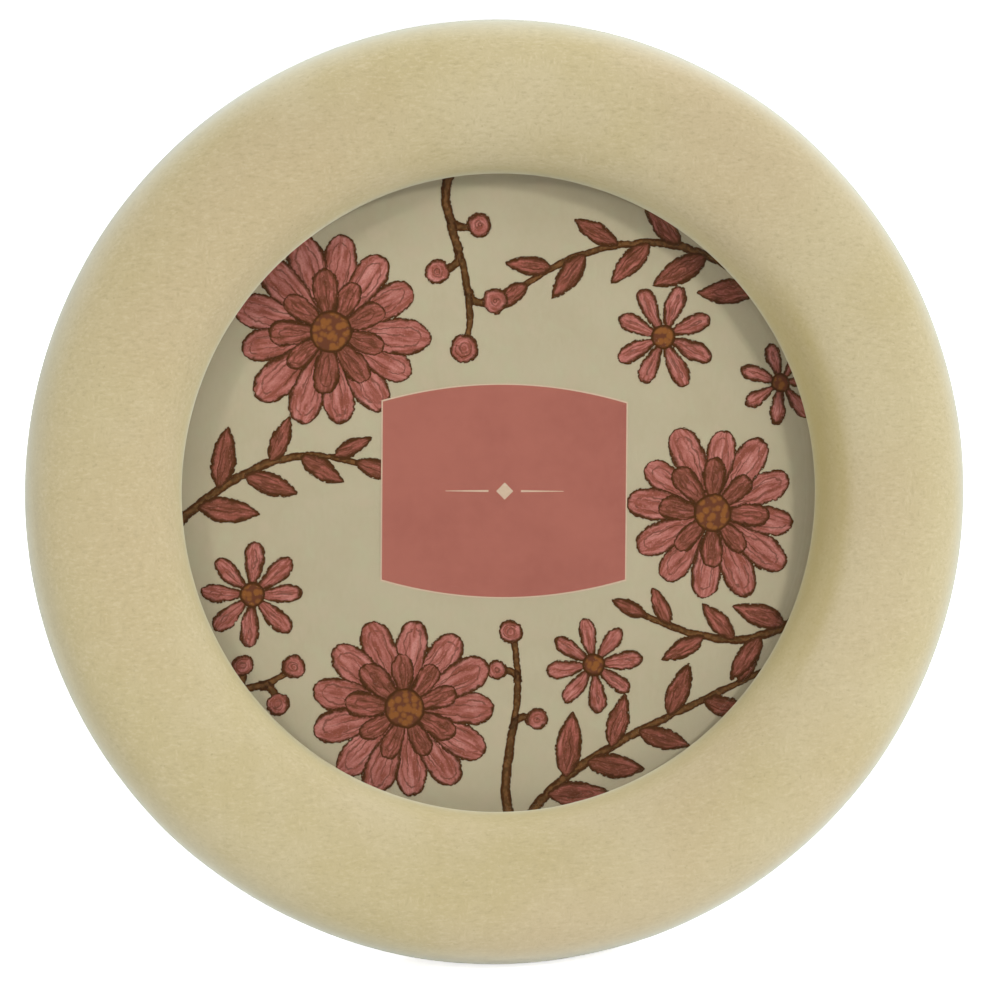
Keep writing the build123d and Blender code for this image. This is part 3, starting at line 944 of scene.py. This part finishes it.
def makePrint():
    chance = Random(insert["seed"])
    petals = Motifs(insert["petal"], insert["petalTurns"])
    crowns = Motifs(insert["crown"], insert["crownTurns"])
    eyes = Motifs(insert["eye"])
    leaves = Motifs(insert["leaf"], insert["leafTurns"])
    berries = Motifs(insert["berry"])
    stems = Stems()
    drawDaisies(chance, petals, crowns, eyes)
    drawSprigs(chance, leaves, stems)
    drawTwigs(chance, berries, stems)

    petalInk = inkFinish("petalInk", inks["pinkPale"], inks["pink"], inks["pinkDeep"],
                         insert["petalStrokes"], insert["petalLine"])
    crownInk = inkFinish("crownInk", inks["pink"], inks["rose"], inks["rustDeep"],
                         insert["petalStrokes"], insert["crownLine"])
    leafInk = inkFinish("leafInk", inks["rustPale"], inks["rust"], inks["rustDeep"],
                        insert["leafStrokes"], insert["leafLine"])
    eyeInk = newFinish("eyeInk", buildEye)
    stemInk = newFinish("stemInk", buildStem)
    motif = motifTree()
    blades = {
        "petalBlade": bladeMesh("petalBlade", insert["petalHalf"], petalWidth),
        "crownBlade": bladeMesh("crownBlade", insert["crownHalf"], petalWidth),
        "leafBlade": bladeMesh("leafBlade", insert["leafHalf"], leafWidth),
        "disc": discMesh("disc"),
    }
    blades = {name: linkPiece(name, mesh) for name, mesh in blades.items()}
    layers = [                # motifs, blade and ink of a layer, then the jitter of turn and size
        ("leafPrint", leaves, "leafBlade", leafInk, 0.14, 0.10),
        ("berryPrint", berries, "disc", petalInk, 0.0, 0.10),
        ("petalPrint", petals, "petalBlade", petalInk, 0.07, 0.08),
        ("crownPrint", crowns, "crownBlade", crownInk, 0.12, 0.12),
        ("eyePrint", eyes, "disc", eyeInk, 0.0, 0.0),
    ]
    for name, motifs, blade, finish, turnJitter, sizeJitter in layers:
        values = {"Motif": blades[blade], "TurnJitter": turnJitter, "SizeJitter": sizeJitter,
                  "Wobble": insert["wobble"], "Seed": insert["seed"], "Finish": finish}
        piece = growPiece(name, motifs.mesh(name + "Points"), motif, values)
        keepPiece(piece, "frame")
        print(name, len(motifs.points), "motifs", len(piece.data.polygons), "faces")
    for blade in blades.values():
        bpy.data.objects.remove(blade)
    values = {"Width": insert["stemWidth"], "Taper": insert["stemTaper"], "Wobble": insert["wobble"],
              "Finish": stemInk}
    piece = growPiece("stemPrint", stems.mesh("stemLines"), ribbonTree(), values)
    keepPiece(piece, "frame")
    print("stems", len(piece.data.polygons), "faces")
    dressSolid("picture_insert", newFinish("paperFinish", buildPaper))


panel = {
    "centre": (0.59, 0.33),
    "turn": -2.0,             # degrees
    "halfWidth": 18.55,
    "halfSide": 13.38,
    "bow": 2.66,
    "border": 0.20,
    "columns": 32,
    "rows": 4,
    "ruleHalf": 9.0,
    "ruleWidth": 0.3,
    "ruleTip": 0.3,           # width at the far end, as a share
    "diamond": 1.3,
    "diamondGap": 1.9,        # where the rule starts, in diamonds
}


# Puts a flat shape of the panel in its place on the face
def keepPanel(name, points, faces, finish):
    piece = linkPiece(name, plainMesh(name, points, (), faces))
    across, up = panel["centre"]
    turn = Matrix.Rotation(radians(panel["turn"]), 4, "Z")
    piece.data.transform(facePlace @ Matrix.Translation((across, up, 0)) @ turn)
    piece.data.materials.append(finish)
    keepPiece(piece, "frame")


# A panel with straight sides and a bowed top and bottom
def bowedPlate(name, border, lift, finish):
    halfWidth = panel["halfWidth"] + border
    halfSide = panel["halfSide"] + border
    depth = insert["paperFront"] + lift
    tall = panel["rows"] + 1
    points = []
    for column in range(panel["columns"] + 1):
        share = 2 * column / panel["columns"] - 1
        rise = halfSide + panel["bow"] * (1 - share * share)
        for row in range(tall):
            points.append((share * halfWidth, rise * (2 * row / panel["rows"] - 1), depth))
    faces = []
    for column in range(panel["columns"]):
        for row in range(panel["rows"]):
            corner = column * tall + row
            faces.append((corner, corner + tall, corner + tall + 1, corner + 1))
    keepPanel(name, points, faces, finish)


def makePanel():
    cream = newFinish("creamInk", buildCream)
    bowedPlate("panelBorder", panel["border"], insert["panelEdge"], cream)
    bowedPlate("panelPlate", 0.0, insert["panel"], newFinish("panelInk", buildPanel))
    depth = insert["paperFront"] + insert["rule"]
    points = []
    faces = []
    for side in (-1, 1):
        first = len(points)
        near = side * panel["diamond"] * panel["diamondGap"]
        far = side * panel["ruleHalf"]
        half = panel["ruleWidth"] / 2
        tip = half * panel["ruleTip"]
        corners = [(near, -half), (far, -tip), (far, tip), (near, half)]
        points.extend((x, y, depth) for x, y in corners[::side])
        faces.append(tuple(range(first, first + 4)))
    first = len(points)
    reach = panel["diamond"]
    points.extend([(-reach, 0, depth), (0, -reach, depth), (reach, 0, depth), (0, reach, depth)])
    faces.append(tuple(range(first, first + 4)))
    keepPanel("panelRule", points, faces, cream)


makePrint()
makePanel()
print("insert printed")


# Glass, boards, papers and metal keep their solids and take these finishes

glass = {
    "tint": paint(0.985, 0.995, 0.985),
    "shadowTint": paint(0.95, 0.96, 0.95),
    "refraction": 1.5,
    "rough": 0.015,
    "smear": 0.03,
    "smearSize": 14.0,        # grain sizes are in millimetres
}
foam = {
    "pore": paint(0.55, 0.52, 0.42),
    "pale": paint(0.80, 0.78, 0.70),
    "poreSize": 0.8,
}
board = {
    "deep": paint(0.30, 0.19, 0.10),
    "pale": paint(0.48, 0.335, 0.20),
    "cloud": paint(0.38, 0.255, 0.145),
    "chipSize": 0.45,
    "cloudSize": 8.0,
}
blackBoard = {
    "deep": paint(0.012, 0.012, 0.013),
    "pale": paint(0.035, 0.034, 0.033),
    "wear": paint(0.12, 0.08, 0.05),
    "chipSize": 0.4,
    "wearSize": 3.0,
}
liner = {
    "deep": paint(0.012, 0.012, 0.013),
    "pale": paint(0.034, 0.033, 0.032),
    "scuff": paint(0.075, 0.073, 0.070),
    "fibreSize": 0.35,
    "cloudSize": 16.0,
    "scuffSize": 2.4,
}
velour = {
    "deep": paint(0.006, 0.006, 0.007),
    "pale": paint(0.026, 0.026, 0.028),
    "rubbed": paint(0.045, 0.044, 0.046),
    "sheen": 0.25,
    "sheenRough": 0.4,
    "sheenTint": paint(0.6, 0.6, 0.65),
    "pileSize": 0.25,
    "rubSize": 13.0,
}
steel = {
    "deep": paint(0.30, 0.29, 0.27),
    "pale": paint(0.44, 0.425, 0.395),
    "scratch": paint(0.52, 0.505, 0.475),
    "tarnish": paint(0.17, 0.14, 0.11),
    "hazeSize": 5.0,
    "scratchSize": 0.25,
    "speckSize": 0.7,
}


def buildGlass(start):
    smear = start.grain(glass["smearSize"], 4.0, 0.6, (1.0, 0.4, 0.4), (0.0, 0.4, 0.0))
    rough = glass["rough"] + smear.step(0.55, 0.8) * glass["smear"]
    pane = start.surface(Base_Color=glass["tint"], Roughness=rough, IOR=glass["refraction"],
                         Transmission_Weight=1.0)
    clear = start.node("ShaderNodeBsdfTransparent", {}, {"Color": glass["shadowTint"]})
    path = start.node("ShaderNodeLightPath", out="Is Shadow Ray")
    through = path.maths("MAXIMUM", path, path.other("Is Diffuse Ray"))
    return start.node("ShaderNodeMixShader", {}, {0: through, 1: pane, 2: clear})


def buildFoam(start):
    pore = start.grain(foam["poreSize"], 3.0, 0.6)
    colour = pore.step(0.35, 0.6).blend(foam["pore"], foam["pale"])
    return start.surface(Base_Color=colour, Roughness=0.9, Normal=pore.bump(0.6, 0.3))


def buildBoard(start):
    chip = start.grain(board["chipSize"], 3.0, 0.7, (1.0, 0.5, 1.0))
    cloud = start.grain(board["cloudSize"], 3.0)
    colour = chip.step(0.3, 0.7).blend(board["deep"], board["pale"])
    colour = (cloud * 0.3).blend(colour, board["cloud"])
    return start.surface(Base_Color=colour, Roughness=0.78 + chip * 0.15, Normal=chip.bump(0.3, 0.08))


def buildBlackBoard(start):
    chip = start.grain(blackBoard["chipSize"], 3.0, 0.7)
    wear = start.grain(blackBoard["wearSize"], 4.0, 0.65)
    colour = chip.step(0.3, 0.75).blend(blackBoard["deep"], blackBoard["pale"])
    colour = (wear.step(0.66, 0.8) * 0.35).blend(colour, blackBoard["wear"])
    return start.surface(Base_Color=colour, Roughness=0.6 + chip * 0.25, Normal=chip.bump(0.25, 0.06))


def buildLiner(start):
    fibre = start.grain(liner["fibreSize"], 3.0, 0.65, (1.0, 1.0, 0.45))
    cloud = start.grain(liner["cloudSize"], 3.0)
    scuff = start.grain(liner["scuffSize"], 4.0, 0.7)
    colour = (fibre * 0.6 + cloud * 0.5).step(0.35, 0.75).blend(liner["deep"], liner["pale"])
    colour = (scuff.step(0.56, 0.76) * 0.35).blend(colour, liner["scuff"])
    return start.surface(Base_Color=colour, Roughness=0.62 + fibre * 0.2, Normal=fibre.bump(0.35, 0.06))


def buildVelour(start):
    pile = start.grain(velour["pileSize"], 3.0, 0.65)
    rub = start.grain(velour["rubSize"], 4.0, 0.6, (1.0, 1.0, 0.5))
    colour = pile.step(0.3, 0.7).blend(velour["deep"], velour["pale"])
    colour = (rub.step(0.5, 0.75) * 0.4).blend(colour, velour["rubbed"])
    return start.surface(Base_Color=colour, Roughness=0.9, Normal=pile.bump(0.5, 0.08),
                         Sheen_Weight=velour["sheen"], Sheen_Roughness=velour["sheenRough"],
                         Sheen_Tint=velour["sheenTint"], Specular_IOR_Level=0.2)


def buildSteel(start):
    haze = start.grain(steel["hazeSize"], 4.0, 0.6)
    scratch = start.grain(steel["scratchSize"], 3.0, 0.7, (0.06, 1.0, 1.0), (0.0, 0.35, 0.0))
    speck = start.grain(steel["speckSize"], 3.0, 0.7)
    colour = haze.step(0.3, 0.75).blend(steel["deep"], steel["pale"])
    colour = (scratch.step(0.52, 0.72) * 0.35).blend(colour, steel["scratch"])
    colour = (speck.step(0.64, 0.78) * 0.4).blend(colour, steel["tarnish"])
    rough = 0.22 + haze * 0.16 + scratch.step(0.5, 0.7) * 0.16
    return start.surface(Base_Color=colour, Metallic=1.0, Roughness=rough, Normal=scratch.bump(0.16, 0.03))


solidFinishes = {
    "glassFinish": (buildGlass, ["glass_pane"]),
    "foamFinish": (buildFoam, ["foam_pad"]),
    "boardFinish": (buildBoard, ["frame_core", "back_board"]),
    "blackBoardFinish": (buildBlackBoard, ["easel_leg"]),
    "linerFinish": (buildLiner, ["rear_liner"]),
    "velourFinish": (buildVelour, ["back_board_lining", "easel_leg_lining"]),
    "steelFinish": (buildSteel, [name for name in nodes if name.startswith(("hinge_", "turn_button"))]),
}

for name, (build, members) in solidFinishes.items():
    finish = newFinish(name, build)
    for member in members:
        dressSolid(member, finish)
print("finishes on", sum(len(members) for build, members in solidFinishes.values()), "solids")
